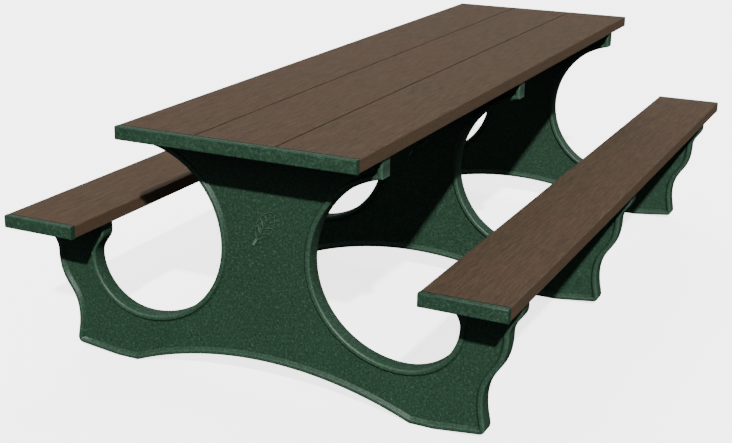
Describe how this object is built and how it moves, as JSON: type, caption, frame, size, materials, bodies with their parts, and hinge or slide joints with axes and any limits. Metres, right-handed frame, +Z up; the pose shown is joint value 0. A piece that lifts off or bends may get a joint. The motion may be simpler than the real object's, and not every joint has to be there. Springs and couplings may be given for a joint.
{
  "type": "picnic table",
  "caption": "Long picnic table with attached benches: plank top and seats on moulded plate frames with round cutouts, arched feet and plain end strips.",
  "frame": {"origin": "on the ground under the middle of the table", "axes": "+X across the table towards one seat, +Y along the boards, +Z up"},
  "size_m": [1.524, 2.476, 0.762],
  "materials": {
    "frame_plastic": "stippled, moulded recycled polyethylene, flecked green",
    "board_plastic": "matt, fine lengthwise streaks, mottled brown recycled polyethylene",
    "strip_plastic": "matt, flecked green recycled polyethylene",
    "plug_plastic": "matt, flush green plug",
    "stainless_steel": "satin stainless steel"
  },
  "bodies": {
    "root": {"frame_front": "frame_plastic", "frame_middle": "frame_plastic", "frame_rear": "frame_plastic", "top_board_left": "board_plastic", "top_board_middle": "board_plastic", "top_board_right": "board_plastic", "seat_board_left": "board_plastic", "seat_board_right": "board_plastic", "top_end_strip_front": "strip_plastic", "top_end_strip_rear": "strip_plastic", "seat_end_strip_front_left": "strip_plastic", "seat_end_strip_front_right": "strip_plastic", "seat_end_strip_rear_left": "strip_plastic", "seat_end_strip_rear_right": "strip_plastic", "top_strip_plugs": "plug_plastic", "seat_strip_plugs": "plug_plastic", "top_lag_screws": "stainless_steel", "top_washers": "stainless_steel", "seat_lag_screws": "stainless_steel", "seat_washers": "stainless_steel", "top_strip_screws": "stainless_steel", "seat_strip_screws": "stainless_steel"}
  },
  "joints": []
}
